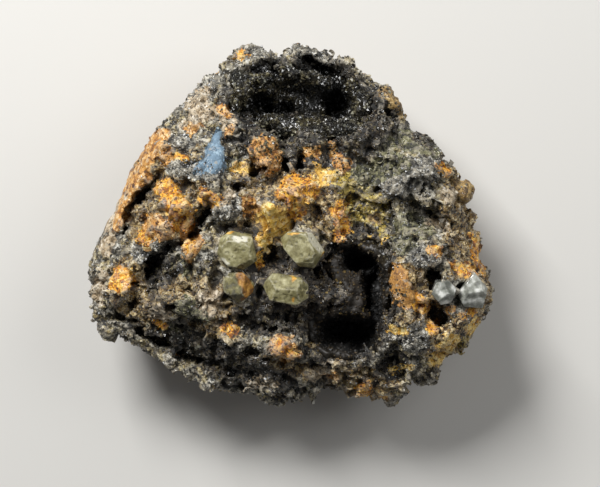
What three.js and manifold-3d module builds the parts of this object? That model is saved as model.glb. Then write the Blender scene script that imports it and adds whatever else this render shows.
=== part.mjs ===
// An embolite specimen: four silver-halide crystals, each a few millimetres across, on a
// small hand specimen of rusty gossan. Gossan is the porous iron oxide that is left where
// an ore weathers. Two hollows in it are lined with a dark crust of tiny crystals, and two
// quartz points are set in its right-hand end. The lump lies on its broken underside, with
// its crystals up: +X is to the right, +Y is to the back and +Z is up. The origin is on the
// resting plane, under the middle of the lump. All sizes are in millimetres.
import * as THREE from "three";
import Module from "manifold-3d";
import { ImprovedNoise } from "three/addons/math/ImprovedNoise.js";
import { mergeVertices } from "three/addons/utils/BufferGeometryUtils.js";

const wasm = await Module();
wasm.setup();
const perlin = new ImprovedNoise();

// Driving dimensions
const RIM_HEIGHT = 9; // level of the widest outline
const CROWN_HEIGHT = 17; // level of the broad top, before its swells
const BASE_DROP = 2.2; // how far the raw underside reaches below the resting plane
const BASE_TAPER = 0.2; // share of the outline lost from the rim to the underside
const LUMP_DETAIL = 14; // subdivision of the main lump
const TOP_SHARE = 0.6; // share of the lump's facets that goes to the top
const FIT_GAP = 0.3; // air between a crystal or a crust and the rock around it
const CRUST_THICKNESS = 1.0;
const CRUST_GRAIN = 1.3; // reach of the largest crystal of a crust
const CRUST_SPACING = 6; // one crystal on every sixth corner of a crust
const CRUST_SUNK = 1.0; // how far a crust's mouth lies below the rock's surface
const COBBLE_SIZE = 3.7; // pitch of the rounded cobbles that cover the lump
const COBBLE_RISE = 3.6;
const CRACK_CLEARANCE = 2.5; // how far a crack's cutter stands out over the surface
const SMOOTH_FACES = [
  [-8.4, 7.0, 2.6, 3.6, -20], // blue-grey face, free of cobbles
  [-18.9, 2.4, 8.6, 2.4, 63], // flat flank of the left-hand plate
];

// The plan outline, anticlockwise from the right-hand corner, seen from above
const PLAN = [
  [22.3, -7.9], [21.7, -5.3], [20.7, -2.2], [19.9, 0.5], [19.2, 2.2], [18.2, 4.6], [17.0, 7.0],
  [15.3, 9.2], [13.2, 9.6], [12.8, 11.4], [12.4, 12.8], [10.9, 14.5], [9.6, 14.9], [8.0, 16.4],
  [7.6, 17.8], [6.2, 18.4], [4.8, 17.9], [3.2, 18.9], [1.2, 19.7], [-0.3, 18.8], [-1.2, 17.5],
  [-2.2, 18.6], [-4.2, 19.1], [-5.6, 18.2], [-7.4, 16.6], [-9.6, 15.2], [-11.5, 13.0],
  [-13.0, 11.0], [-15.0, 9.8], [-16.3, 7.7], [-17.8, 4.6], [-19.6, 0.8],
  [-21.2, -2.4], [-22.0, -5.8], [-21.6, -8.6], [-22.6, -10.6], [-20.2, -12.2], [-17.3, -13.2],
  [-14.4, -15.2], [-11.6, -16.9], [-8.9, -17.8], [-6.0, -17.6], [-3.0, -19.1], [0.4, -19.6],
  [3.2, -18.4], [6.8, -18.3], [8.4, -20.0], [9.8, -18.4], [11.0, -20.0], [12.7, -18.1],
  [15.7, -16.5], [17.6, -14.2], [19.9, -12.7], [21.7, -10.5],
];

// Broad swells and dips of the top: x, y, half-length, half-width, turn in degrees, rise
const SWELLS = [
  [-9, 7, 8, 5.5, 50, 3.2], // left-hand plateau
  [-18, 0, 3.4, 9, -28, -2.4], // its outer slope
  [-1.5, 3.4, 7, 2.6, -12, 2.6], // ochre ridge across the middle
  [-3, -5, 5, 4, 0, 1.2], // ledge that carries the crystals
  [15, -8, 4.6, 7, 8, 3.0], // right-hand block
  [13.5, 5, 4.4, 4, 0, 1.8], // rounded knobs at the upper right
  [9, 0.4, 4, 2.6, 0, -1.6], // saddle between the two
  [-10, -14.4, 8, 2.2, -22, -3.4], // step down to the lower edge
  [4, -17.4, 7, 2.0, 0, -3.4], // its right-hand half
  [3, 12, 9, 5, -10, -1.0], // sag around the upper hollow
];

// Lumps of the top: x, y, half-length, half-width, turn in degrees, rise
const LUMPS = [
  [11.6, 4.1, 2.2, 2.0, 20, 2.0], // grey grape-like knobs
  [14.6, 5.6, 2.4, 1.3, 30, 1.9],
  [14.3, 3.2, 1.2, 1.8, 15, 1.5],
  [15.0, 8.3, 2.5, 2.0, -20, 1.6], // olive shoulder
  [17.3, 2.2, 2.2, 2.0, -20, 2.2],
  [-2.3, 7.4, 1.9, 2.4, 20, 1.7], // ochre lumps of the ridge
  [1.3, 3.0, 2.7, 1.8, 10, 1.7],
  [4.6, 3.7, 1.6, 1.6, 0, 1.3],
  [-2.2, 0.3, 1.6, 2.8, -18, 1.5],
  [-5.9, 0.9, 2.2, 1.5, 20, 1.3],
  [-8.6, 3.2, 2.4, 1.6, 0, 1.3],
  [-7.6, 7.6, 2.2, 3.4, -20, 0.9], // blue-grey face
  [-12.2, 1.6, 3.4, 2.0, 48, 1.9],
  [-13.9, 7.9, 2.6, 1.8, 55, 1.6],
  [-10.6, 11.6, 2.4, 1.7, 50, 1.2],
  [-17.4, 2.0, 1.4, 4.0, -27, 1.6], // scalloped left plate
  [-10.2, -2.5, 2.0, 1.6, -15, 1.5],
  [-17.8, -6.0, 2.3, 2.6, 10, 1.9],
  [-19.9, -2.6, 1.5, 2.8, -10, 1.2],
  [-18.6, -11.2, 2.6, 1.4, -20, 1.3],
  [-9.6, -8.6, 4.0, 3.0, 20, 1.5],
  [-12.8, -8.2, 1.6, 2.4, 0, 1.5],
  [-7.0, -12.4, 3.2, 1.6, -12, 1.0],
  [5.4, -0.5, 0.9, 2.4, 10, 1.5], // ochre rib beside the cavity
  [3.6, -0.6, 1.4, 2.2, 0, 0.9],
  [11.6, -0.9, 2.6, 1.6, 18, 1.6], // olive brow over it
  [-0.2, -13.4, 3.0, 1.9, -14, 1.9], // rimmed oval, lower middle
  [12.1, -6.6, 1.5, 3.2, 14, 1.5], // brown cheek of the right block
  [16.2, -2.6, 2.8, 2.0, -10, 1.5],
  [18.6, -8.0, 2.4, 2.8, 0, 1.5],
  [14.0, -12.6, 2.6, 2.4, 10, 1.6],
  [17.4, -13.0, 2.2, 1.6, 30, 1.0],
  [-0.5, -17.0, 3.4, 1.4, 0, 1.5], // lower ledge
  [6.4, -16.4, 2.6, 1.3, -10, 1.3],
  [2.2, 8.4, 3.0, 1.3, 0, 1.0], // rim in front of the upper hollow
  [7.6, 9.2, 3.0, 1.6, -20, 1.2],
  [10.2, 11.6, 1.4, 2.8, 30, 1.6],
];

// Pits of the top: x, y, half-length, half-width, turn in degrees, depth
const PITS = [
  [-14.6, 4.6, 2.0, 1.4, 60, 1.0],
  [-4.4, 5.4, 1.8, 1.4, 0, 1.2],
  [-6.6, -0.9, 2.2, 1.0, -10, 1.4],
  [-1.9, -4.2, 2.0, 1.6, 0, 2.0], // between the three crystals
  [3.4, -4.4, 2.2, 1.4, 20, 1.6],
  [-3.4, -11.0, 3.0, 1.2, -10, 1.4],
  [3.4, -11.2, 2.2, 2.6, 0, 1.8],
  [14.9, 0.4, 3.0, 1.0, -28, 2.4], // crack under the knobs
  [15.3, -5.8, 1.2, 1.3, 0, 2.4],
  [15.2, -9.7, 2.2, 1.0, -20, 2.2],
  [11.4, -15.0, 1.6, 2.0, 20, 2.4],
  [19.8, -3.6, 1.0, 1.6, 0, 1.0],
  [8.6, 5.8, 2.6, 1.6, -30, 1.4],
];

// Broken sides: each plane trims the lump. Direction in plan, lean from upright, distance
const FRACTURES = [
  [-152, 18, 21.6], [-118, 20, 18.9], [146, 8, 18.4], [30, 12, 19.8], [-38, 14, 22.6],
  [75, 6, 20.8],
];

// Buds that stand out past the lump: place, half-sizes, turn in degrees
const BUDS = [
  { at: [18.8, 3.5, 12.2], size: [1.7, 1.5, 2.2], turn: 0 }, // brown bud on the right edge
  { at: [11.1, 13.1, 13.2], size: [1.1, 2.3, 2.6], turn: 36 }, // brown bead on the back edge
];

// Cracks and notches in the top: each point is x, y, half-width and depth
const CRACKS = [
  [[-14.5, 5.4, 0.5, 1], [-15.0, 3.6, 1.5, 3.6], [-16.3, 2.2, 1.9, 4.4], [-16.9, 0.4, 1.2, 3],
    [-17.0, -1.4, 0.5, 1]], // notch behind the left plate
  [[-8.2, 2.2, 0.5, 1], [-8.7, 0.7, 1.0, 3], [-10.2, -0.7, 0.7, 2], [-12.4, -2.5, 1.4, 4.4],
    [-14.3, -3.6, 1.3, 4.6], [-15.6, -5.4, 1.3, 4.6], [-15.9, -7.8, 1.4, 4.2],
    [-17.4, -9.5, 1.2, 3.6], [-19.6, -9.7, 0.7, 1.6]], // crack down the left side
  [[-19.4, -11.4, 0.6, 1], [-16.6, -11.3, 1.4, 3.4], [-13.2, -13.4, 1.8, 4.2],
    [-9.2, -15.0, 1.6, 4.2], [-6.0, -16.2, 1.5, 3.6], [-3.4, -16.0, 0.6, 1]], // lower edge
  [[-5.6, 3.3, 0.4, 1], [-3.7, 3.9, 1.2, 3.4], [-1.0, 5.1, 1.2, 3.2], [0.5, 4.9, 0.4, 1]],
  [[1.2, 8.4, 0.5, 1], [1.3, 6.7, 1.2, 3.6], [1.4, 5.2, 0.6, 2]], // slots beside the ridge
  [[11.2, 2.4, 0.5, 1], [13.4, 1.9, 1.0, 3], [15.4, 1.0, 1.7, 4.2], [17.2, 0.2, 0.7, 1.4]],
  [[14.4, -7.6, 0.5, 1], [15.6, -9.2, 1.5, 3.8], [16.6, -10.5, 1.2, 3], [16.6, -11.9, 0.5, 1]],
  [[14.2, -4.6, 0.4, 1], [15.1, -5.8, 1.5, 3.4], [15.9, -6.8, 0.5, 1]], // in the right block
  [[-19.3, -4.0, 0.4, 1], [-19.0, -5.8, 0.8, 2.4], [-18.9, -7.4, 0.4, 1]],
  [[-3.6, -9.4, 0.5, 1], [-1.4, -10.2, 1.3, 2.6], [1.6, -10.0, 1.2, 2.6], [3.0, -8.8, 0.5, 1]],
];

// The two large hollows: each is a few overlapping balls
const UPPER_HOLLOW = [
  { at: [1.6, 13.4, 16.6], size: [8.4, 4.3, 6.6], turn: -6, detail: 2 },
  { at: [-2.4, 12.7, 13.6], size: [2.9, 2.3, 5.6], turn: -30, detail: 1 },
  { at: [5.0, 13.0, 12.8], size: [2.4, 2.9, 6.4], turn: 0, detail: 1 },
  { at: [2.8, 16.8, 16.0], size: [2.9, 1.4, 4.4], turn: -14, detail: 1 },
  { at: [-2.9, 16.4, 16.6], size: [1.9, 1.5, 3.6], turn: 0, detail: 1 },
];
const LOWER_HOLLOW = [
  { at: [7.8, -4.4, 15.6], size: [3.7, 3.0, 8.2], turn: 6, detail: 1 },
  { at: [8.7, -8.0, 15.0], size: [2.3, 4.3, 8.6], turn: -6, detail: 1 },
  { at: [6.3, -11.7, 14.6], size: [4.5, 3.1, 8.2], turn: -8, detail: 1 },
];

// Crystals: each is a block trimmed by its flat faces. A face is a direction in plan, a lean
// from upright, both in degrees, and a distance from the crystal's middle. "lift" is how far
// the middle stands over the rock's top. Embolite's faces are those of a cube and an octahedron.
const EMBOLITE_CRYSTALS = [
  {
    name: "embolite_crystal_left", at: [-5.4, -2.9], lift: 0.4,
    faces: [
      [250, 12, 1.75], [75, 42, 2.05], [205, 55, 2.1], [0, 52, 2.25], [290, 55, 2.15],
      [140, 50, 2.25], [168, 88, 2.0], [125, 88, 2.1], [75, 85, 1.9], [12, 90, 1.9],
      [306, 92, 2.1], [255, 92, 1.8], [220, 90, 1.9], [0, 180, 2.0],
    ],
  },
  {
    name: "embolite_crystal_right", at: [1.55, -2.9], lift: 0.6,
    faces: [
      [190, 17, 1.8], [28, 60, 1.95], [327, 60, 2.2], [270, 58, 2.0], [165, 60, 2.25],
      [87, 84, 1.95], [35, 92, 1.85], [327, 94, 2.0], [264, 90, 1.75], [222, 96, 1.3],
      [197, 92, 1.9], [130, 90, 2.5], [0, 180, 2.0],
    ],
  },
  {
    name: "embolite_crystal_front", at: [-0.25, -7.1], lift: 0.45,
    faces: [
      [88, 33, 1.65], [268, 27, 1.7], [185, 50, 2.05], [355, 50, 2.1], [81, 84, 1.6],
      [139, 88, 2.25], [43, 88, 2.1], [0, 92, 2.4], [301, 92, 1.95], [258, 92, 1.35],
      [205, 90, 2.0], [0, 180, 1.8],
    ],
  },
  {
    name: "embolite_crystal_rusted", at: [-5.2, -6.75], lift: -0.2,
    faces: [
      [170, 20, 1.5], [350, 46, 1.55], [260, 55, 1.55], [180, 88, 1.65], [132, 88, 1.7],
      [90, 88, 1.55], [46, 90, 1.4], [350, 90, 1.6], [310, 92, 1.4], [232, 92, 1.35],
      [0, 180, 1.5],
    ],
  },
];
const QUARTZ_POINTS = [
  {
    name: "quartz_point_outer", at: [19.5, -7.0], lift: -0.9,
    faces: [
      [80, 14, 1.9], [285, 36, 1.9], [175, 46, 1.7], [20, 55, 1.9], [39, 86, 1.4],
      [143, 86, 0.95], [348, 90, 1.6], [265, 92, 1.95], [205, 90, 1.6], [0, 180, 2.2],
    ],
  },
  {
    name: "quartz_point_inner", at: [16.5, -7.3], lift: -0.8,
    faces: [
      [200, 26, 1.45], [20, 42, 1.4], [290, 50, 1.3], [100, 84, 1.2], [40, 88, 1.2],
      [340, 90, 1.1], [280, 90, 1.3], [220, 90, 1.2], [160, 90, 1.2], [0, 180, 1.6],
    ],
  },
];

// Warped ball: unit directions scaled by a slow noise, then by the half-sizes
function warpedBall({ at, size, turn, detail = 1 }, shrink = 0) {
  const geometry = new THREE.IcosahedronGeometry(1, detail);
  const position = geometry.getAttribute("position");
  const direction = new THREE.Vector3();
  for (let i = 0; i < position.count; i++) {
    direction.fromBufferAttribute(position, i);
    const wave = direction.clone().multiplyScalar(2.2);
    const bulge = perlin.noise(wave.x + at[0] * 1.3, wave.y + at[1] * 1.7, wave.z + at[2] * 0.9);
    direction.multiplyScalar(1 + 0.3 * bulge);
    position.setXYZ(i, direction.x, direction.y, direction.z);
  }
  geometry.scale(size[0] - shrink, size[1] - shrink, size[2] - shrink);
  geometry.rotateZ(THREE.MathUtils.degToRad(turn));
  geometry.translate(...at);
  return geometry;
}

function solidOf(geometry) {
  const bare = new THREE.BufferGeometry();
  bare.setAttribute("position", geometry.getAttribute("position"));
  if (geometry.index) bare.setIndex(geometry.index);
  const merged = mergeVertices(bare, 1e-4);
  return new wasm.Manifold(
    new wasm.Mesh({
      numProp: 3,
      vertProperties: merged.getAttribute("position").array,
      triVerts: new Uint32Array(merged.index.array),
    }),
  );
}

function geometryOf(solid) {
  const mesh = solid.getMesh();
  const geometry = new THREE.BufferGeometry();
  geometry.setAttribute("position", new THREE.BufferAttribute(mesh.vertProperties, 3));
  geometry.setIndex(new THREE.BufferAttribute(mesh.triVerts, 1));
  geometry.computeVertexNormals();
  return geometry;
}

function outlineRadius(angle) {
  const direction = new THREE.Vector2(Math.cos(angle), Math.sin(angle));
  for (let i = 0; i < PLAN.length; i++) {
    const from = new THREE.Vector2(...PLAN[i]);
    const to = new THREE.Vector2(...PLAN[(i + 1) % PLAN.length]);
    const isBetween = from.cross(direction) >= 0 && direction.cross(to) >= 0;
    if (isBetween && from.dot(direction) > 0) {
      return from.cross(to) / direction.cross(to.clone().sub(from));
    }
  }
  return PLAN[0][0];
}

// How far a point of the plan lies from an oval's middle, as a share of the oval's reach
function ovalShare(x, y, [cx, cy, long, wide, turn]) {
  const spin = THREE.MathUtils.degToRad(-turn);
  const across = new THREE.Vector2(x - cx, y - cy).rotateAround(new THREE.Vector2(), spin);
  return Math.hypot(across.x / long, across.y / wide);
}

function domeOver(x, y, ovals) {
  const heights = ovals.map((oval) => {
    const share = ovalShare(x, y, oval);
    return share < 1 ? oval[5] * (1 - share ** 2) ** 0.7 : 0;
  });
  return Math.max(...heights);
}

function crownHeight(x, y) {
  let height = CROWN_HEIGHT;
  for (const swell of SWELLS) height += swell[5] * Math.exp(-(ovalShare(x, y, swell) ** 2));
  return height + domeOver(x, y, LUMPS) - domeOver(x, y, PITS);
}

// The main lump: a ball spread to the plan outline, flat-topped and tapering downwards
function lumpPoint(direction) {
  const fromTop = Math.acos(THREE.MathUtils.clamp(direction.z, -1, 1)) / Math.PI;
  const isTop = fromTop < TOP_SHARE;
  const polar = isTop ? fromTop / TOP_SHARE : (1 - fromTop) / (1 - TOP_SHARE);
  const along = 1.3 * polar;
  const spread = along / (1 + along ** 5) ** 0.2 / (1.3 / (1 + 1.3 ** 5) ** 0.2);
  const climb = (1 - polar ** 3) ** 0.62;
  const reach = outlineRadius(Math.atan2(direction.y, direction.x)) * spread;
  const heading = new THREE.Vector2(direction.x, direction.y).normalize();
  const point = new THREE.Vector3(heading.x * reach, heading.y * reach, RIM_HEIGHT);
  if (isTop) {
    point.z += (crownHeight(point.x, point.y) - RIM_HEIGHT) * climb;
  } else {
    const taper = BASE_TAPER * (1 + 1.2 * perlin.noise(heading.x * 1.6, heading.y * 1.6, 4));
    point.z -= (RIM_HEIGHT + BASE_DROP) * climb;
    point.x *= 1 - taper * climb;
    point.y *= 1 - taper * climb;
  }
  return point;
}

// Rounded cobbles that touch along sharp valleys: 1 on a cobble's middle, 0 in a valley
function cobble(point, size) {
  const place = point.clone().divideScalar(size);
  const cell = place.clone().floor();
  const middle = new THREE.Vector3();
  let nearest = Infinity;
  for (let i = 0; i < 27; i++) {
    middle.set(i % 3, Math.floor(i / 3) % 3, Math.floor(i / 9)).addScalar(-1).add(cell);
    const { x, y, z } = middle;
    middle.x += 0.5 + 0.6 * perlin.noise(x * 2.37 + 0.5, y * 3.11, z * 1.73);
    middle.y += 0.5 + 0.6 * perlin.noise(x * 1.91, y * 2.53 + 0.5, z * 3.37);
    middle.z += 0.5 + 0.6 * perlin.noise(x * 3.43, y * 1.57, z * 2.71 + 0.5);
    nearest = Math.min(nearest, middle.distanceTo(place));
  }
  return Math.sqrt(Math.max(0, 1 - (nearest / 0.95) ** 2));
}

function roughen(point, outward) {
  const shares = SMOOTH_FACES.map((face) => ovalShare(point.x, point.y, face));
  const smooth = Math.exp(-(Math.min(...shares) ** 4));
  const fine = perlin.noise(point.x / 2.3, point.y / 2.3, point.z / 2.3 + 11);
  const relief = COBBLE_RISE * (cobble(point, COBBLE_SIZE) - 0.8) + 0.7 * fine;
  point.addScaledVector(outward, relief * (1 - 0.85 * smooth));
}

function breakFlat(point) {
  for (const [plan, lean, distance] of FRACTURES) {
    const heading = THREE.MathUtils.degToRad(plan);
    const tilt = THREE.MathUtils.degToRad(lean);
    const normal = new THREE.Vector3(Math.cos(heading), Math.sin(heading), -Math.tan(tilt)).normalize();
    const excess = point.dot(normal) - distance * Math.cos(tilt) + RIM_HEIGHT * Math.sin(tilt);
    if (excess > 0) point.addScaledVector(normal, -0.8 * excess);
  }
}

function mainLump() {
  const geometry = new THREE.IcosahedronGeometry(1, LUMP_DETAIL);
  const position = geometry.getAttribute("position");
  const direction = new THREE.Vector3();
  for (let i = 0; i < position.count; i++) {
    direction.fromBufferAttribute(position, i).normalize();
    const point = lumpPoint(direction);
    breakFlat(point);
    roughen(point, direction);
    position.setXYZ(i, point.x, point.y, point.z);
  }
  return solidOf(geometry);
}

function joined(balls, shrink) {
  return wasm.Manifold.union(balls.map((ball) => solidOf(warpedBall(ball, shrink))));
}

// A crack to cut: a three-sided bar laid along the path, wide at the top, sharp below
function crackWedge(path) {
  const last = path.length - 1;
  const geometry = new THREE.CylinderGeometry(1, 1, last, 3, last);
  const position = geometry.getAttribute("position");
  for (let i = 0; i < position.count; i++) {
    const station = Math.round(last / 2 + position.getY(i));
    const [x, y, wide, deep] = path[station];
    const before = path[Math.max(0, station - 1)];
    const after = path[Math.min(last, station + 1)];
    const side = new THREE.Vector2(before[1] - after[1], after[0] - before[0]).setLength(wide);
    const across = position.getX(i) / Math.sin(Math.PI / 3);
    const down = (position.getZ(i) + 0.5) / 1.5;
    const z = crownHeight(x, y) + CRACK_CLEARANCE - down * (CRACK_CLEARANCE + deep);
    position.setXYZ(i, x + side.x * across, y + side.y * across, z);
  }
  return geometry;
}

// Height of a solid's top over a place in the plan
function topAt(solid, [x, y]) {
  const probe = new THREE.BoxGeometry(0.6, 0.6, 60).translate(x, y, 0);
  return solid.intersect(solidOf(probe)).boundingBox().max[2];
}

function crystalMesh({ name, at, lift, faces }, material) {
  let block = solidOf(new THREE.BoxGeometry(8, 8, 8));
  for (const [plan, lean, distance] of faces) {
    const inward = new THREE.Vector3().setFromSphericalCoords(
      -1,
      THREE.MathUtils.degToRad(lean),
      THREE.MathUtils.degToRad(plan),
    );
    block = block.trimByPlane([inward.z, inward.x, inward.y], -distance);
  }
  const mesh = new THREE.Mesh(geometryOf(block), material);
  mesh.name = name;
  mesh.position.set(...at, topAt(lump, at) + lift);
  return mesh;
}

// The space that a placed crystal needs in the rock: itself, grown by the gap
function socketFor(mesh) {
  const size = new THREE.Vector3();
  mesh.updateMatrix();
  mesh.geometry.computeBoundingBox();
  mesh.geometry.boundingBox.getSize(size);
  const grow = 1 + (2.4 * FIT_GAP) / Math.min(size.x, size.y, size.z);
  return solidOf(mesh.geometry.clone().scale(grow, grow, grow).applyMatrix4(mesh.matrix));
}

// Crystals of a crust: small octahedra on its inner face, below the hollow's mouth
function crustGrains(balls) {
  const grains = [];
  for (const ball of balls) {
    const inner = warpedBall(ball, FIT_GAP + CRUST_THICKNESS);
    inner.deleteAttribute("normal");
    inner.deleteAttribute("uv");
    const corners = mergeVertices(inner, 1e-4).getAttribute("position");
    for (let i = 0; i < corners.count; i += CRUST_SPACING) {
      if (corners.getZ(i) > ball.at[2]) continue;
      const reach = CRUST_GRAIN * (0.7 + 0.3 * Math.sin(i * 2.3));
      const grain = new THREE.OctahedronGeometry(reach).rotateX(i * 1.7).rotateY(i * 0.9);
      grains.push(solidOf(grain.translate(corners.getX(i), corners.getY(i), corners.getZ(i))));
    }
  }
  return wasm.Manifold.union(grains);
}

// A crust lines a hollow: it's one body, its mouth sunk a little below the rock's surface
function crustMesh(name, balls) {
  const outer = joined(balls, FIT_GAP);
  const inner = joined(balls, FIT_GAP + CRUST_THICKNESS);
  const sunk = lump.translate([0, 0, -CRUST_SUNK]);
  const lining = outer.subtract(inner).add(crustGrains(balls)).intersect(outer).intersect(sunk);
  const bodies = lining.decompose().sort((a, b) => b.volume() - a.volume());
  const mesh = new THREE.Mesh(geometryOf(bodies[0]), darkCrust);
  mesh.name = name;
  return mesh;
}

const gossan = new THREE.MeshStandardMaterial({ color: 0x6f5a3e, roughness: 0.9, metalness: 0 });
const darkCrust = new THREE.MeshStandardMaterial({ color: 0x26241f, roughness: 0.35, metalness: 0 });
const embolite = new THREE.MeshStandardMaterial({ color: 0x8f8b68, roughness: 0.4, metalness: 0 });
const quartz = new THREE.MeshStandardMaterial({ color: 0xb9bab2, roughness: 0.15, metalness: 0 });

const belowTable = solidOf(new THREE.BoxGeometry(80, 80, 20).translate(0, 0, -10));
const lump = mainLump().add(joined(BUDS, 0)).subtract(belowTable);
const hollows = joined([...UPPER_HOLLOW, ...LOWER_HOLLOW], 0);
const cracks = wasm.Manifold.union(CRACKS.map((path) => solidOf(crackWedge(path))));
const crystals = [
  ...EMBOLITE_CRYSTALS.map((crystal) => crystalMesh(crystal, embolite)),
  ...QUARTZ_POINTS.map((crystal) => crystalMesh(crystal, quartz)),
];
const sockets = wasm.Manifold.union(crystals.map(socketFor));
const rock = lump.subtract(hollows).subtract(cracks).subtract(sockets);

const matrix = new THREE.Mesh(geometryOf(rock), gossan);
matrix.name = "gossan_matrix";

const group = new THREE.Group();
group.name = "embolite_specimen";
group.add(matrix, ...crystals);
group.add(crustMesh("upper_hollow_crust", UPPER_HOLLOW));
group.add(crustMesh("lower_hollow_crust", LOWER_HOLLOW));
export default group;
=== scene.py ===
import math

import bmesh
import bpy
import numpy as np
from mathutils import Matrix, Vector, noise


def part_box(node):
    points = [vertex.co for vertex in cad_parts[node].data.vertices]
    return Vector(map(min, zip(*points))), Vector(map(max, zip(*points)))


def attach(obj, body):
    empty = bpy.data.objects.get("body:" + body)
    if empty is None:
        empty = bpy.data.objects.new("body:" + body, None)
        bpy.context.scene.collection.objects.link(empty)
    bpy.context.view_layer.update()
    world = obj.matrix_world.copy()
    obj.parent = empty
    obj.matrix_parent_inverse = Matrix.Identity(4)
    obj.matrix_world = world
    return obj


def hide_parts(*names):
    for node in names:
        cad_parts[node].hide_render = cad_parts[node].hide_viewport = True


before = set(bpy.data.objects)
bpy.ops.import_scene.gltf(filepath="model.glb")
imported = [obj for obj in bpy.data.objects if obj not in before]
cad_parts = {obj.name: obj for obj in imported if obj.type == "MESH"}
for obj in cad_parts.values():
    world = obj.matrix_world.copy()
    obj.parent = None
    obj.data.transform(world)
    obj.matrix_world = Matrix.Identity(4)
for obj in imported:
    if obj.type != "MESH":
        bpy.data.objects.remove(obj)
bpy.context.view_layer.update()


# The stand: a plain pale table, seen from straight above, as the specimen was photographed.
# A soft key light comes from behind and to the left, so that lips and ledges shade what is
# in front of them, and a weak fill keeps the hollows readable.
MM = 0.001
CAMERA_HEIGHT = 260 * MM
FOCUS_LEVEL = 9 * MM  # level of the specimen's widest outline
VIEW_MIDDLE = (1.26 * MM, -2.2 * MM)  # what the middle of the picture looks at
VIEW_WIDTH = 65.9 * MM  # what 600 pixels span at that level
KEY_PLACE = (-95 * MM, 150 * MM, 210 * MM)
KEY_SIZE = 100 * MM
KEY_POWER = 0.95
FILL_PLACE = (150 * MM, 80 * MM, 190 * MM)
FILL_SIZE = 160 * MM
FILL_POWER = 0.2
ROOM_GLOW = 0.17
TABLE_WIDTH = 1.6


def srgb(code, alpha=1.0):
    """Linear colour of an sRGB hex value."""
    parts = [int(code[i : i + 2], 16) / 255 for i in (1, 3, 5)]
    linear = [c / 12.92 if c <= 0.04045 else ((c + 0.055) / 1.055) ** 2.4 for c in parts]
    return (*linear, alpha)


def area_light(name, place, size, power):
    lamp = bpy.data.lights.new(name, "AREA")
    lamp.energy = power
    lamp.size = size
    holder = bpy.data.objects.new(name, lamp)
    holder.location = place
    aim = Vector((0, 0, FOCUS_LEVEL)) - Vector(place)
    holder.rotation_euler = aim.to_track_quat("-Z", "Y").to_euler()
    bpy.context.collection.objects.link(holder)


scene = bpy.context.scene
lens = bpy.data.cameras.new("copy_stand_lens")
lens.sensor_width = 36
lens.lens = lens.sensor_width * (CAMERA_HEIGHT - FOCUS_LEVEL) / VIEW_WIDTH
lens.clip_start = 10 * MM
lens.clip_end = 5
camera = bpy.data.objects.new("copy_stand_camera", lens)
camera.location = (*VIEW_MIDDLE, CAMERA_HEIGHT)
bpy.context.collection.objects.link(camera)
scene.camera = camera
scene.view_settings.view_transform = "Standard"

area_light("key_light", KEY_PLACE, KEY_SIZE, KEY_POWER)
area_light("fill_light", FILL_PLACE, FILL_SIZE, FILL_POWER)
room = bpy.data.worlds.new("plain_room")
room.use_nodes = True
sky = room.node_tree.nodes["Background"]
sky.inputs["Color"].default_value = srgb("#c9ccd0")
sky.inputs["Strength"].default_value = ROOM_GLOW
scene.world = room

bpy.ops.mesh.primitive_plane_add(size=TABLE_WIDTH)
table = bpy.context.object
table.name = "pale_table"
paper = bpy.data.materials.new("matt_pale_paper")
paper.use_nodes = True
paper_shader = paper.node_tree.nodes["Principled BSDF"]
paper_shader.inputs["Base Color"].default_value = srgb("#cfcdc8")
paper_shader.inputs["Roughness"].default_value = 0.85
table.data.materials.append(paper)


# The gossan lump: porous iron oxide, left where an ore weathered. It is one natural piece:
# goethite and limonite in thin curled walls and small knobs, with powdery ochre in between,
# olive and grey growths, and a few smooth broken faces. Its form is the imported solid's.
SKIN_PITCH = 0.19 * MM  # grid of the lump's fine surface
LUMP_FACES = 190000
FACET_ROUNDS = 14  # smoothing rounds that take the solid's flat facets away
SOCKET_FILL = 1.14  # a crystal's seat is filled by a copy this much larger than the crystal
SOCKET_DROP = 1.1 * MM
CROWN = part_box("gossan_matrix")[1][2]
EDGE_SEED = 3  # of the noise that makes the patches' edges ragged
NOISE_SEED = 3
noise.seed_set(NOISE_SEED)  # unseeded, noise_vector starts from a new place in each run

# Coloured parts of the top: x, y, half-length, half-width in mm, and turn in degrees
OCHRE = [
    (1.1, 3.6, 2.3, 1.5, 0), (-12.9, 3.6, 1.4, 0.9, -25), (-11.6, 1.2, 2.2, 1.5, -65),
    (-8.3, 2.6, 1.1, 1.0, 0), (-11.3, 0.2, 1.4, 1.2, 0), (-10.5, -2.4, 1.1, 0.6, 100),
    (-17.7, -6.1, 1.5, 1.4, 30), (0.9, 1.3, 1.3, 1.1, 0), (5.5, 0.0, 2.7, 0.75, 95),
    (-3.1, -4.0, 0.9, 0.5, 80), (13.6, -8.6, 1.8, 0.9, -15), (18.7, -4.9, 1.7, 0.9, -20),
    (-0.3, -13.6, 1.2, 0.7, -35), (15.6, -3.0, 0.8, 0.7, 0), (17.5, -9.2, 0.6, 0.4, 30),
    (19.4, -9.8, 0.9, 0.5, -20), (20.6, -3.6, 2.6, 0.7, 110), (16.5, 5.9, 0.9, 0.7, 0),
    (-6.3, -11.4, 0.9, 0.5, 0), (15.5, -11.2, 1.0, 0.7, 0), (-4.9, 18.2, 0.9, 0.6, 30),
    (-11.2, 6.9, 0.7, 0.5, 0), (-15.6, -1.9, 0.9, 0.6, 40), (-13.8, -10.9, 0.9, 0.5, -20),
    (8.3, -18.4, 0.9, 0.9, 0), (10.4, -19.0, 0.7, 0.5, 0),
]
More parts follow.
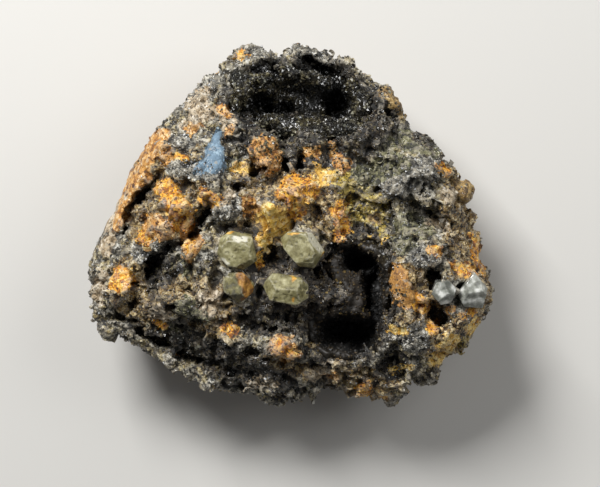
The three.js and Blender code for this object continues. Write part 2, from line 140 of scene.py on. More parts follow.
SIENNA = [
    (-2.3, 7.2, 2.3, 1.6, -65), (2.4, 7.3, 1.0, 0.7, 0), (5.3, 6.8, 2.0, 0.9, 120),
    (-14.7, 8.0, 2.6, 1.2, 59), (-12.8, 7.4, 1.3, 1.0, 90), (-17.4, 4.8, 3.0, 0.6, 64),
    (-13.9, -0.6, 2.0, 1.4, -25), (-10.4, -2.3, 1.9, 1.2, 100), (-0.4, -13.5, 1.8, 1.2, -35),
    (-3.9, 1.6, 1.1, 0.9, 60), (-17.8, 1.0, 2.2, 0.8, 64), (4.6, -16.4, 1.0, 0.5, 0),
    (-16.2, 4.4, 1.8, 0.9, 40), (-10.4, 10.0, 1.2, 0.6, 10), (-6.8, 12.0, 1.1, 0.7, -40),
    (-6.2, 9.6, 0.5, 0.7, 0),
]
WARM = [
    (-13.0, 3.0, 6.5, 3.6, 65), (0.5, 4.0, 6.5, 4.0, 0), (-2.5, -2.0, 2.8, 4.4, 0),
    (12.5, -7.0, 3.6, 5.0, 0), (17.5, -11.5, 4.0, 4.5, 30), (19.4, -7.4, 2.6, 4.6, 0),
    (-16.0, -7.0, 3.4, 4.0, 0), (-8.0, -10.0, 3.6, 2.4, -20), (2.0, -14.5, 5.0, 2.4, 0),
    (19.0, 1.5, 3.0, 5.0, 0), (6.5, 1.5, 4.0, 4.0, 0), (8.0, -17.5, 4.0, 2.2, 0),
    (-6.5, 12.5, 1.6, 1.4, 0), (-10.4, -7.6, 4.2, 2.2, -12), (14.6, -9.6, 2.6, 2.0, 0),
    (-14.6, -10.6, 2.4, 1.0, -25),
]
TAN = [
    (-6.8, 11.2, 2.0, 0.9, 115), (-10.8, 10.4, 1.5, 0.7, 20), (-18.6, 2.6, 4.0, 1.0, 66),
    (-19.5, -2.2, 1.5, 0.7, 70), (-20.4, -6.9, 2.0, 0.8, 85), (-3.7, 1.8, 1.0, 0.8, 60),
    (-9.2, 11.8, 1.6, 1.3, 0), (-6.8, 2.6, 1.4, 0.9, 30), (-8.3, -8.5, 1.5, 1.2, 60),
    (-16.5, 5.2, 2.2, 1.0, 60), (16.2, -0.1, 1.2, 0.6, -25), (17.2, 3.0, 1.1, 0.9, 0),
    (8.3, -18.8, 1.1, 1.0, 0), (10.8, -19.0, 1.0, 0.7, 0), (-9.6, 13.4, 1.6, 0.8, 40),
    (-13.6, -9.6, 1.4, 0.8, 0), (-3.0, -17.4, 1.8, 0.7, 0), (3.4, -16.0, 1.6, 0.8, 20),
]
MUSTARD = [
    (-1.7, 0.6, 1.8, 1.5, 120), (-2.5, -2.0, 1.2, 1.0, 80), (11.6, -11.2, 1.0, 0.6, 0),
    (16.7, -13.6, 2.3, 1.0, 55), (20.0, -11.2, 1.3, 0.8, 30), (8.4, 17.0, 1.0, 0.5, -30),
    (4.0, 5.0, 1.4, 1.0, 0), (9.2, -1.8, 0.9, 0.5, 0), (12.2, -15.4, 1.2, 0.4, 10),
    (-4.6, 5.6, 1.2, 0.8, 0),
]
RUST = [
    (12.3, -6.8, 2.1, 1.0, 110), (11.3, 13.1, 2.2, 0.9, 126), (19.6, 3.4, 1.5, 2.0, 0),
    (5.7, -1.8, 1.1, 0.6, 90), (2.6, 1.4, 1.2, 0.8, 0), (9.4, 0.6, 0.8, 0.8, 0),
]
OLIVE = [
    (8.0, 0.9, 3.0, 2.6, 0), (10.4, -2.0, 1.6, 1.0, 0), (7.2, 3.8, 2.2, 1.6, 0),
    (18.8, -13.2, 1.2, 0.7, 50),
]
MOSS = [
    (13.3, -0.2, 2.2, 1.2, 0), (11.8, -2.3, 1.8, 1.1, 0), (14.4, 8.9, 2.5, 1.6, -20),
    (10.0, 6.2, 3.0, 1.5, 0), (8.4, 5.0, 1.6, 1.0, 0), (-11.6, -4.6, 1.8, 1.2, 0),
    (-5.6, 6.0, 1.2, 0.7, 0), (5.0, 9.4, 1.8, 1.2, 0), (10.0, 9.0, 2.4, 1.2, -30),
    (-10.1, -9.3, 2.2, 1.2, -20), (-13.2, -11.2, 1.8, 0.7, -25), (5.6, 14.2, 1.6, 0.9, 0),
]
# The druse patch at 14.8, 9.2 is painted shade on the grey knobs
DRUSE = [
    (1.8, 11.6, 9.6, 6.2, -6), (9.4, 12.4, 3.6, 2.2, -55), (2.0, 8.9, 5.4, 1.8, 0),
    (-1.4, -5.1, 3.9, 2.5, 0), (-2.9, -7.6, 1.2, 1.6, 0), (1.9, -5.2, 2.4, 1.3, 0),
    (-1.0, -10.4, 5.4, 1.8, 0), (4.6, -8.0, 3.2, 4.2, 0), (-7.0, -14.8, 9.6, 1.8, -20),
    (-13.4, -5.2, 2.2, 1.2, 40), (7.5, -7.6, 4.4, 7.4, 0), (11.2, -15.4, 1.9, 1.4, 30),
    (14.8, 9.2, 1.7, 0.9, -20), (-5.0, -1.0, 2.4, 0.8, -10), (3.0, -14.2, 2.6, 1.2, 0),
]
GREY = [
    (11.5, 4.0, 1.9, 1.7, 0), (14.3, 5.4, 2.1, 1.3, 20), (-3.8, 18.6, 1.9, 0.9, 10),
    (1.2, 19.0, 1.6, 1.0, -20), (3.4, 18.2, 1.4, 0.6, -35), (18.2, -8.0, 2.2, 1.9, 0),
    (-6.6, 1.6, 2.2, 1.4, 0), (14.0, -3.4, 1.7, 1.4, 0), (13.2, -12.2, 1.8, 1.6, 0),
    (-4.4, 9.6, 1.2, 3.2, 0), (-14.8, -3.0, 2.4, 1.2, 0), (-9.4, 5.6, 3.6, 1.2, 0),
    (-9.6, 14.4, 3.4, 1.4, 48), (-10.8, 9.0, 1.6, 1.0, 50), (0.4, -12.0, 1.8, 0.5, -20),
    (9.6, -13.0, 0.9, 1.4, 0), (-19.4, -1.4, 0.9, 0.7, 0),
]
BLUE_FACE = [
    (-7.6, 8.7, 1.5, 0.55, 84), (-7.7, 7.2, 1.5, 1.1, 85), (-8.1, 6.0, 1.0, 1.7, 90),
    (-9.0, 5.6, 1.2, 0.6, 15),
]
CARAMEL = [(11.9, -6.6, 2.3, 1.2, 112), (12.1, -8.4, 1.2, 0.6, 100)]

# Parts of the top that broke or grew flatter than the rest, and the share of relief they lose
BEADS = [
    (19.5, 3.2, 1.3, 1.9, 0), (11.2, 13.2, 2.2, 0.75, 126), (-2.5, -2.0, 1.3, 1.0, 80),
    (-1.7, 0.6, 1.9, 1.6, 120),
]
PLATES = [(-18.7, 1.6, 7.6, 1.5, 64), (-15.2, 7.6, 2.8, 1.3, 59), *BEADS, *CARAMEL]
PLATE_SMOOTH = 0.88
FACE_SMOOTH = 0.95  # the share that the blue-grey face loses
ROUND_KNOBS = [
    (11.5, 4.0, 1.7, 1.5, 0), (14.3, 5.4, 1.9, 1.1, 20), (14.4, 8.9, 2.5, 1.6, -20),
    (13.3, -0.2, 2.0, 1.0, 0), (11.8, -2.3, 1.6, 1.0, 0), (17.2, 3.0, 1.5, 1.2, 0),
]
KNOB_SMOOTH = 0.6
POWDER_SMOOTH = 0.5  # the share that powdery ochre loses
BASE_BAND = (0.2 * MM, 1.2 * MM)  # between these levels the relief fades out, down to a flat base

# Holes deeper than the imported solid's own, and lumps that stand above it (depth below zero):
# x, y, half-length, half-width, turn, depth in mm
LEVELS = [
    (-1.7, 0.6, 1.7, 1.4, 120, -0.6), (-2.5, -2.0, 1.2, 0.9, 80, -0.9),
    (-8.3, 2.6, 1.0, 0.9, 0, -0.7), (5.4, -7.4, 1.9, 1.6, 0, -0.8), (11.5, 4.0, 1.4, 1.2, 0, -0.7),
    (14.3, 5.4, 1.6, 0.9, 20, -0.6), (11.8, -2.3, 1.3, 0.8, 0, -0.6),
    (17.2, 3.0, 1.3, 1.0, 0, -0.5), (-6.7, 1.2, 1.3, 0.9, 0, -0.7), (-3.4, 12.4, 2.2, 1.4, 40, 3.0),
    (-0.9, 12.2, 1.9, 0.9, 5, 2.6), (5.2, 12.9, 1.6, 2.0, 10, 3.8), (2.7, 16.9, 2.3, 1.0, -12, 4.2),
    (-2.7, 16.8, 1.6, 0.9, 10, 2.4), (5.6, 15.6, 0.9, 1.4, 0, 1.8), (7.0, -3.6, 2.1, 1.0, -20, 3.4),
    (8.8, -5.2, 1.1, 1.8, 0, 3.6), (9.3, -8.4, 1.1, 3.4, 0, 3.8), (6.3, -11.8, 3.3, 2.0, 0, 3.6),
    (8.2, -13.0, 1.3, 1.2, 0, 2.4), (-17.8, -10.2, 1.9, 0.5, -12, 2.5),
    (-11.2, -14.2, 1.6, 0.45, -25, 2.0), (-3.5, -13.8, 1.2, 0.35, 0, 1.8),
    (-6.2, -17.5, 2.0, 0.5, -22, 1.8), (4.2, -17.7, 2.0, 0.5, -20, 1.8),
    (-15.6, 2.9, 1.5, 0.85, 30, 3.4), (-17.1, 1.0, 1.7, 0.42, 84, 2.4),
    (-14.4, 4.3, 1.1, 0.45, 75, 2.6), (-8.4, 1.1, 0.5, 1.3, 0, 2.8),
    (-9.8, -0.9, 1.9, 0.34, 38, 2.6), (-12.6, -2.6, 2.0, 0.34, 28, 2.6),
    (-14.6, -4.6, 2.0, 0.5, 62, 3.0), (-14.5, -7.6, 2.2, 0.42, 96, 2.8),
    (-1.2, 17.4, 0.6, 1.6, 0, 3.0), (-5.2, 3.6, 0.7, 0.45, 10, 2.4), (-3.2, 5.4, 1.2, 0.5, 20, 2.0),
    (-0.2, 6.1, 0.55, 0.9, 0, 2.2), (15.3, -5.4, 0.9, 0.8, 0, 2.6),
    (15.6, -9.8, 1.1, 0.75, -30, 2.4), (-14.0, 12.0, 0.4, 0.3, 0, 1.0),
    (9.0, 3.4, 0.8, 0.5, 30, 1.6), (-12.8, -8.8, 1.4, 0.4, -30, 1.8),
    (-6.5, -13.2, 2.0, 0.4, -22, 2.0), (2.2, -4.9, 1.2, 0.5, -10, 1.4),
]
DEEP_FROM = 1.5
DEEP_HOLES = [patch for *patch, depth in LEVELS if depth > DEEP_FROM]  # painted shade darkens these inside
SIDE_STAINS = {  # on the sides: size of a stain's clouds in mm, and how thick they must be to show
    "warm": (5.0, -0.08), "sienna": (3.4, 0.26), "ochre": (3.2, 0.34),
    "grey": (3.6, 0.12), "tan": (2.4, 0.28), "druse": (4.5, 0.32),
}
MARKS = {
    "warm": WARM, "sienna": SIENNA, "ochre": OCHRE, "tan": TAN, "mustard": MUSTARD, "rust": RUST,
    "olive": OLIVE, "moss": MOSS, "druse": DRUSE, "grey": GREY, "caramel": CARAMEL,
    "blue_face": BLUE_FACE,
}
TOP_FACING = (-0.35, 0.15)  # upward share of the normal from which the top's patches take over
HOLLOW_RANGE = (0.02, 0.3)  # mm below the ground around it, from no painted shade to the darkest
PALE_RIM_AND_HIGHLIGHT_RANGE = (0.02, 0.22)  # mm above it, from plain to the palest rim and painted highlight

# The small relief, each form with its size across and then its height or depth, in mm
PLATE_SIZE = 2.3
PLATE_STEP = 1.0
CREVICE = 1.3
SCALE_SIZE = 0.85
SCALE_STEP = 0.34
SEAM = 0.22
CRUMB_SIZE = 0.42
CRUMB_RISE = 0.13
WALL_SIZE = 1.9
WALL_RISE = 0.3
PIT_SIZE = 1.2
PIT_DEPTH = 1.0
PRICK_SIZE = 0.55
PRICK_DEPTH = 0.3
RELIEF_LOSS = 0.92  # the most that a smooth part loses


def bake(piece):
    """Turns a piece's modifiers into its mesh."""
    graph = bpy.context.evaluated_depsgraph_get()
    mesh = bpy.data.meshes.new_from_object(piece.evaluated_get(graph))
    piece.modifiers.clear()
    piece.data = mesh


def merged_copy(names, name, place=None):
    """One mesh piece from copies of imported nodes; place moves a node's copy if it's given."""
    shape = bmesh.new()
    for node in names:
        start = len(shape.verts)
        shape.from_mesh(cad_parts[node].data)
        if place:
            shape.verts.ensure_lookup_table()
            place(node, shape.verts[start:])
    bmesh.ops.remove_doubles(shape, verts=shape.verts, dist=0.002 * MM)
    mesh = bpy.data.meshes.new(name)
    shape.to_mesh(mesh)
    shape.free()
    piece = bpy.data.objects.new(name, mesh)
    bpy.context.collection.objects.link(piece)
    return piece


def reskin(piece, pitch):
    """Replaces a piece's surface by an even grid of that pitch, with loose bits dropped."""
    remesh = piece.modifiers.new("reskin", "REMESH")
    remesh.mode = "VOXEL"
    remesh.voxel_size = pitch
    bake(piece)
    shape = bmesh.new()
    shape.from_mesh(piece.data)
    unseen = set(shape.verts)
    largest = set()
    while unseen:
        island = {unseen.pop()}
        edge = set(island)
        while edge:
            edge = {e.other_vert(v) for v in edge for e in v.link_edges} & unseen
            unseen -= edge
            island |= edge
        largest = max(largest, island, key=len)
    stray = [v for v in shape.verts if v not in largest]
    bmesh.ops.delete(shape, geom=stray, context="VERTS")
    shape.to_mesh(piece.data)
    shape.free()


def places_of(mesh):
    places = np.empty(len(mesh.vertices) * 3, np.float32)
    mesh.vertices.foreach_get("co", places)
    return places.reshape(-1, 3)


def normals_of(mesh):
    normals = np.empty(len(mesh.vertices) * 3, np.float32)
    mesh.vertex_normals.foreach_get("vector", normals)
    return normals.reshape(-1, 3)


def put_places(mesh, places):
    mesh.vertices.foreach_set("co", places.astype(np.float32).ravel())
    mesh.update()


def eased(mesh, values, rounds):
    """Values at the vertices, each averaged with its neighbours that many times."""
    pairs = np.empty(len(mesh.edges) * 2, np.int32)
    mesh.edges.foreach_get("vertices", pairs)
    a, b = pairs.reshape(-1, 2).T
    count = np.bincount(pairs, minlength=len(mesh.vertices))[:, None]
    for _ in range(rounds):
        total = np.empty_like(values)
        for k in range(values.shape[1]):
            ahead = np.bincount(a, values[b, k], len(count))
            behind = np.bincount(b, values[a, k], len(count))
            total[:, k] = ahead + behind
        values = 0.5 * values + 0.5 * total / count
    return values


def smoothstep(low, high, value):
    share = np.clip((value - low) / (high - low), 0, 1)
    return share * share * (3 - 2 * share)


def patch_share(places, patches, edge):
    """1 inside the patches, 0 outside, with a ragged edge; edge holds noise in mm."""
    share = np.zeros(len(places))
    for x, y, long, wide, turn in patches:
        spin = math.radians(turn)
        dx = places[:, 0] / MM - x + edge[:, 0]
        dy = places[:, 1] / MM - y + edge[:, 1]
        along = (dx * math.cos(spin) + dy * math.sin(spin)) / long
        across = (dy * math.cos(spin) - dx * math.sin(spin)) / wide
        share = np.maximum(share, 1 - smoothstep(0.75, 1.15, np.hypot(along, across)))
    return share


def ragged(places, seed):
    """Noise that makes a patch's edge ragged, in mm, from 2 mm and 0.6 mm waves."""
    edge = np.empty((len(places), 2))
    for i, place in enumerate(places):
        at = Vector(place) / MM
        coarse = noise.noise_vector(at / 2.0 + Vector((seed, 0, 0)))
        fine = noise.noise_vector(at / 0.6 + Vector((0, seed, 0)))
        edge[i] = coarse[0] * 0.7 + fine[0] * 0.35, coarse[1] * 0.7 + fine[1] * 0.35
    return edge


def with_levels(places):
    """The places, lowered in the holes and raised on the lumps, in the lump's upper part only."""
    edge = ragged(places, EDGE_SEED)
    in_top = places[:, 2] > 0.4 * CROWN
    lowered = places.copy()
    for *patch, depth in LEVELS:
        lowered[:, 2] -= patch_share(places, [patch], edge) * depth * MM * in_top
    return lowered


def relief(places, smooth):
    """Height of the small relief in mm: plates and scales that stand at different levels, the
    crevices and seams between them, crumbs, thin walls, pits and pricks."""
    heights = np.empty(len(places))
    for i, place in enumerate(places):
        at = Vector(place) / MM
        bent = at + noise.noise_vector(at / 1.5) * 0.8
        spans, seeds = noise.voronoi(bent / PLATE_SIZE)
        step = PLATE_STEP * noise.noise(seeds[0] * 7.3)
        open_here = min(1, max(0, 0.4 + 2.5 * noise.noise(at / 4.5 + Vector((7, 0, 0)))))
        crevice = -CREVICE * open_here * math.exp(-(((spans[1] - spans[0]) / 0.13) ** 2))
        spans, seeds = noise.voronoi(bent / SCALE_SIZE + Vector((9, 0, 0)))
        step += SCALE_STEP * noise.noise(seeds[0] * 5.1)
        crevice -= SEAM * math.exp(-(((spans[1] - spans[0]) / 0.12) ** 2))
        crumb = CRUMB_RISE * noise.noise(at / CRUMB_SIZE)
        thin = 1 - abs(noise.noise(at / WALL_SIZE + Vector((0, 5, 0))))
        wall = WALL_RISE * max(0, (thin - 0.9) / 0.1)
        hole = noise.noise(at / PIT_SIZE + Vector((0, 0, 21)))
        pit = -PIT_DEPTH * min(1, max(0, (hole - 0.3) / 0.12))
        prick = noise.noise(at / PRICK_SIZE + Vector((0, 31, 0)))
        pit -= PRICK_DEPTH * min(1, max(0, (prick - 0.26) / 0.16))
        heights[i] = (step + crevice + crumb + wall + pit) * (1 - RELIEF_LOSS * smooth[i])
    return heights


def fill_socket(node, verts):
    """Moves a crystal's copy so that it fills the floor of the crystal's own socket."""
    if node == "gossan_matrix":
        return
    low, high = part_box(node)
    middle = (Vector(low) + Vector(high)) / 2
    for vert in verts:
        vert.co = middle + (vert.co - middle) * SOCKET_FILL
        vert.co.z -= SOCKET_DROP


def save_share(mesh, name, share):
    layer = mesh.attributes.new(name, "FLOAT", "POINT")
    layer.data.foreach_set("value", share.astype(np.float32))


def share_of(mesh, name):
    values = np.empty(len(mesh.vertices), np.float32)
    mesh.attributes[name].data.foreach_get("value", values)
    return values


crystal_nodes = [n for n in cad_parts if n.startswith(("embolite_", "quartz_"))]
lump = merged_copy(["gossan_matrix", *crystal_nodes], "gossan_lump", fill_socket)
reskin(lump, SKIN_PITCH)
places = eased(lump.data, places_of(lump.data), FACET_ROUNDS)
put_places(lump.data, places)
edge = ragged(places, EDGE_SEED)
places = with_levels(places)
put_places(lump.data, places)
smooth = np.maximum.reduce([
    PLATE_SMOOTH * patch_share(places, PLATES, edge),
    KNOB_SMOOTH * patch_share(places, ROUND_KNOBS, edge),
    FACE_SMOOTH * patch_share(places, BLUE_FACE, np.zeros((len(places), 2))),
    POWDER_SMOOTH * patch_share(places, OCHRE + SIENNA + MUSTARD, edge),
    1 - smoothstep(*BASE_BAND, places[:, 2]),
])
heights = relief(places, smooth)
places = places + normals_of(lump.data) * heights[:, None] * MM
places[:, 2] = np.maximum(places[:, 2], 0)
put_places(lump.data, places)
reskin(lump, SKIN_PITCH)
thin_out = lump.modifiers.new("fewer_faces", "DECIMATE")
thin_out.ratio = min(1, LUMP_FACES / (2 * len(lump.data.polygons)))
bake(lump)
lump.data.shade_smooth()

places = places_of(lump.data)
edge = ragged(places, EDGE_SEED)
upward = eased(lump.data, normals_of(lump.data), 30)[:, 2]
top_share = smoothstep(*TOP_FACING, upward)
for seed, (name, patches) in enumerate(MARKS.items()):
    share = patch_share(places, patches, edge * (0.4 if name == "blue_face" else 1)) * top_share
    if name in SIDE_STAINS:
        size, least = SIDE_STAINS[name]
        drift = Vector((11 * seed, 0, 0))
        cloud = np.array([noise.noise(Vector(p) / (size * MM) + drift) for p in places])
        share = np.maximum(share, smoothstep(least, least + 0.12, cloud) * (1 - top_share))
    save_share(lump.data, name, share)
plate_share = patch_share(places, PLATES, edge)
knob_share = patch_share(places, ROUND_KNOBS, edge)
face_share = share_of(lump.data, "blue_face")
calm = np.maximum.reduce([0.7 * share_of(lump.data, "druse"), face_share, plate_share])
powdery = np.maximum.reduce([share_of(lump.data, n) for n in ("ochre", "sienna", "mustard", "tan")])
hollow = ((eased(lump.data, places, 12) - places) * normals_of(lump.data)).sum(axis=1) / MM
# Painted shade: the lump darkens in its hollows, less under powdery stains, and inside the deep holes
shaded = smoothstep(*HOLLOW_RANGE, hollow) * (1 - 0.7 * powdery)
deep = 0.9 * patch_share(places, DEEP_HOLES, edge) * top_share
save_share(lump.data, "painted_shade", np.maximum(shaded, deep))
# Pale rims and painted highlight: the lump is paler on its crests, except on calm parts
save_share(lump.data, "pale_rim_and_highlight", smoothstep(*PALE_RIM_AND_HIGHLIGHT_RANGE, -hollow) * (1 - calm))
save_share(lump.data, "tone", np.full(len(places), 0.5))
save_share(lump.data, "plain", np.maximum.reduce([plate_share, 0.5 * knob_share, face_share]))


def per_mm(size):
    """Scale of a pattern on Object coordinates whose waves are that many mm long."""
    return 1 / (size * MM)


def add(tree, kind, inputs=None, stops=(), **settings):
    """A node of that kind; an input is a value, or the output socket that feeds it. Stops are
    places and hex colours along a colour ramp."""
    node = tree.nodes.new(kind)
    for name, value in settings.items():
        setattr(node, name, value)
    for name, value in (inputs or {}).items():
        if isinstance(value, bpy.types.NodeSocket):
            tree.links.new(value, node.inputs[name])
        else:
            node.inputs[name].default_value = value
    if stops:
        elements = node.color_ramp.elements
        while len(elements) < len(stops):
            elements.new(0.5)
        for element, (place, code) in zip(elements, stops):
            element.position = place
            element.color = srgb(code)
    return node


def gossan_material():
    """Weathered goethite and limonite: matt and powdery where it's ochre, glassy where it's
    dark. The eye sees specks of a third of a millimetre, black pits of painted shade, and glints, some
    painted."""
    material = bpy.data.materials.new("weathered_goethite_and_limonite")
    material.use_nodes = True
    tree = material.node_tree
    shader = tree.nodes["Principled BSDF"]
    place = add(tree, "ShaderNodeTexCoord").outputs["Object"]
    swirl = add(tree, "ShaderNodeTexNoise", {"Vector": place, "Scale": per_mm(0.7), "Detail": 3.0})
    warped = add(tree, "ShaderNodeVectorMath", {
        0: swirl.outputs["Color"], 1: (0.6 * MM, 0.6 * MM, 0.6 * MM), 2: place,
    }, operation="MULTIPLY_ADD").outputs[0]
    broad = add(tree, "ShaderNodeTexNoise", {
        "Vector": place, "Scale": per_mm(1.4), "Detail": 3.0, "Roughness": 0.6,
    }).outputs["Fac"]
    grain = add(tree, "ShaderNodeTexVoronoi", {"Vector": warped, "Scale": per_mm(0.36)})
    grain = add(tree, "ShaderNodeSeparateColor", {"Color": grain.outputs["Color"]})
    grit = add(tree, "ShaderNodeTexNoise", {
        "Vector": place, "Scale": per_mm(0.24), "Detail": 3.0, "Roughness": 0.6,
    }).outputs["Fac"]
    tone = add(tree, "ShaderNodeAttribute", attribute_name="tone").outputs["Fac"]
    parts = [(broad, 0.9), (grain.outputs["Red"], 0.65), (grit, 0.8), (tone, 0.5)]
    mottle = -0.5 * sum(weight for _, weight in parts) + 0.5
    for part, weight in parts:
        mottle = add(tree, "ShaderNodeMath", {
            0: part, 1: weight, 2: mottle,
        }, operation="MULTIPLY_ADD").outputs[0]
    cast = add(tree, "ShaderNodeTexNoise", {"Vector": warped, "Scale": per_mm(1.1), "Detail": 2.0})
    cast = add(tree, "ShaderNodeMapRange", {
        "Value": cast.outputs["Fac"], "From Min": 0.42, "From Max": 0.56,
    }).outputs["Result"]
    tan_rock = add(tree, "ShaderNodeValToRGB", {"Fac": mottle}, TAN_ROCK).outputs["Color"]
    grey_rock = add(tree, "ShaderNodeValToRGB", {"Fac": mottle}, GREY_ROCK).outputs["Color"]
    colour = add(tree, "ShaderNodeMix", {
        "Factor": cast, 6: tan_rock, 7: grey_rock,
    }, data_type="RGBA").outputs[2]
    for name, stops in STAINS.items():
        share = add(tree, "ShaderNodeAttribute", attribute_name=name).outputs["Fac"]
        raised = add(tree, "ShaderNodeMath", {
            0: share, 1: 1.15, 2: swirl.outputs["Fac"],
        }, operation="MULTIPLY_ADD").outputs[0]
        stained = add(tree, "ShaderNodeMapRange", {
            "Value": raised, "From Min": 0.72, "From Max": 1.02,
        }).outputs["Result"]
        tint = add(tree, "ShaderNodeValToRGB", {"Fac": mottle}, stops).outputs["Color"]
        colour = add(tree, "ShaderNodeMix", {
            "Factor": stained, 6: colour, 7: tint,
        }, data_type="RGBA").outputs[2]
    # Painted shade: black specks where the bump's grit is lowest, fewer on plain parts, and the painted
    # shade of the hollows
    hole = add(tree, "ShaderNodeMapRange", {
        "Value": grit, "From Min": 0.44, "From Max": 0.37,
    }).outputs["Result"]
    plain = add(tree, "ShaderNodeAttribute", attribute_name="plain").outputs["Fac"]
    hole = add(tree, "ShaderNodeMath", {
        0: plain, 1: -0.9, 2: hole,
    }, operation="MULTIPLY_ADD", use_clamp=True).outputs[0]
    painted_shade = add(tree, "ShaderNodeAttribute", attribute_name="painted_shade").outputs["Fac"]
    shade = add(tree, "ShaderNodeMath", {0: hole, 1: painted_shade}, operation="MAXIMUM").outputs[0]
    shade = add(tree, "ShaderNodeMath", {0: shade, 1: 0.86}, operation="MULTIPLY").outputs[0]
    # Pale rims and painted highlight on the crests
    pale_rim_and_highlight = add(tree, "ShaderNodeAttribute", attribute_name="pale_rim_and_highlight").outputs["Fac"]
    pale_rim_and_highlight = add(tree, "ShaderNodeMath", {0: pale_rim_and_highlight, 1: 0.45}, operation="MULTIPLY").outputs[0]
    # Painted glints: a few grains of the mottle turn pale
    painted_glint_fleck = add(tree, "ShaderNodeMapRange", {
        "Value": grain.outputs["Blue"], "From Min": 0.9, "From Max": 0.93, "To Max": 0.45,
    }).outputs["Result"]
    pale_rim_and_highlight = add(tree, "ShaderNodeMath", {0: pale_rim_and_highlight, 1: painted_glint_fleck}, operation="MAXIMUM").outputs[0]
    pale = add(tree, "ShaderNodeMix", {
        "Factor": pale_rim_and_highlight, 6: colour, 7: srgb("#b4ab98"),
    }, data_type="RGBA").outputs[2]
    dark = add(tree, "ShaderNodeMix", {
        "Factor": shade, 6: pale, 7: srgb("#0d0905"),
    }, data_type="RGBA").outputs[2]
    shiny = add(tree, "ShaderNodeMapRange", {
        "Value": grain.outputs["Green"], "From Min": 0.72, "From Max": 0.76,
        "To Min": 0.8, "To Max": 0.2,
    }).outputs["Result"]
    bump = add(tree, "ShaderNodeBump", {"Height": grit, "Strength": 0.9, "Distance": 0.2 * MM})
    tree.links.new(dark, shader.inputs["Base Color"])
    tree.links.new(shiny, shader.inputs["Roughness"])
    tree.links.new(bump.outputs["Normal"], shader.inputs["Normal"])
    shader.inputs["IOR"].default_value = 1.8
    return material


# Colours by brightness of the mottle, from its dark specks to its light ones
TAN_ROCK = [
    (0.1, "#0f0b05"), (0.3, "#322611"), (0.45, "#62532f"), (0.58, "#8a7a4f"), (0.72, "#a99b70"),
    (0.92, "#cabf9e"),
]
GREY_ROCK = [
    (0.1, "#0b0b0a"), (0.3, "#292620"), (0.45, "#565146"), (0.58, "#7d786b"), (0.72, "#a29e90"),
    (0.92, "#cfccc2"),
]
STAINS = {
    "warm": [(0.1, "#160d03"), (0.3, "#432d0d"), (0.5, "#7c602f"), (0.7, "#a38953"), (0.92, "#cdbc93")],
    "grey": [(0.1, "#0e0e0d"), (0.3, "#322f28"), (0.5, "#68645a"), (0.7, "#989487"), (0.92, "#d6d3c8")],
    "olive": [(0.1, "#1c1602"), (0.3, "#5d4d09"), (0.5, "#978022"), (0.7, "#b8a246"), (0.92, "#d6c686")],
    "moss": [(0.1, "#090804"), (0.3, "#22210d"), (0.5, "#484626"), (0.7, "#6b6843"), (0.92, "#989474")],
    "druse": [(0.1, "#040302"), (0.4, "#130d07"), (0.6, "#291e10"), (0.8, "#473a24"), (0.97, "#857858")],
    "tan": [(0.1, "#3a2c1a"), (0.3, "#7f6a4a"), (0.5, "#ab9676"), (0.7, "#c5b499"), (0.92, "#e0d6c4")],
    "mustard": [(0.1, "#7c5716"), (0.3, "#c8962f"), (0.5, "#e6bb52"), (0.7, "#efcd74"), (0.92, "#f5e2a8")],
    "rust": [(0.1, "#241609"), (0.3, "#5c431d"), (0.5, "#836632"), (0.7, "#a1844a"), (0.92, "#c5ab78")],
    "sienna": [(0.1, "#452404"), (0.3, "#975f18"), (0.5, "#c48a38"), (0.7, "#d9a65a"), (0.92, "#ebcd9c")],
    "ochre": [(0.1, "#552b02"), (0.3, "#b26904"), (0.5, "#da9610"), (0.7, "#ecb131"), (0.92, "#f7d57c")],
    "caramel": [(0.1, "#6e471a"), (0.4, "#a0702c"), (0.6, "#b88238"), (0.92, "#cd9f5a")],
    "blue_face": [(0.1, "#445763"), (0.35, "#60798c"), (0.6, "#6e889c"), (0.92, "#92aab9")],
}
lump.data.materials.clear()
gossan = gossan_material()
lump.data.materials.append(gossan)
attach(lump, "root")
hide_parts("gossan_matrix")


# The crumbs: bits of the same gossan, from a tenth to one millimetre, that stand in the
# lump's surface all over: angular chips of goethite, and thin curled walls, the last of a
# boxwork whose filling is gone. They grew with it, and their feet are inside it.
CHIPS = 5600  # in each of the chip meshes
CHIP_MESHES = 3
CHIP_KINDS = 24
CHIP_SIZE = (0.07, 0.38)  # half-size in mm
CHIP_LEAN = 0.5  # spread of the tilt away from the surface's normal
CURLS = 1300
CURL_KINDS = 12
CURL_SIZE = (0.2, 0.55)
CURL_LEAN = 0.3
CURL_FOOT = 0.6
FOOT = 0.5  # how deep a bit stands: its middle is on the surface at 0.5, and below it at more


def chip_shapes(count, seed):
    """Angular chips about one unit in radius: corners of an icosphere moved at random."""
    shape = bmesh.new()
    bmesh.ops.create_icosphere(shape, subdivisions=1, radius=1)
    corners = np.array([v.co for v in shape.verts])
    faces = np.array([[v.index for v in f.verts] for f in shape.faces])
    shape.free()
    draw = np.random.default_rng(seed)
    shapes = corners * draw.uniform(0.62, 1.28, (count, len(corners), 1))
    return shapes * np.array([1, 0.8, 0.55]), faces


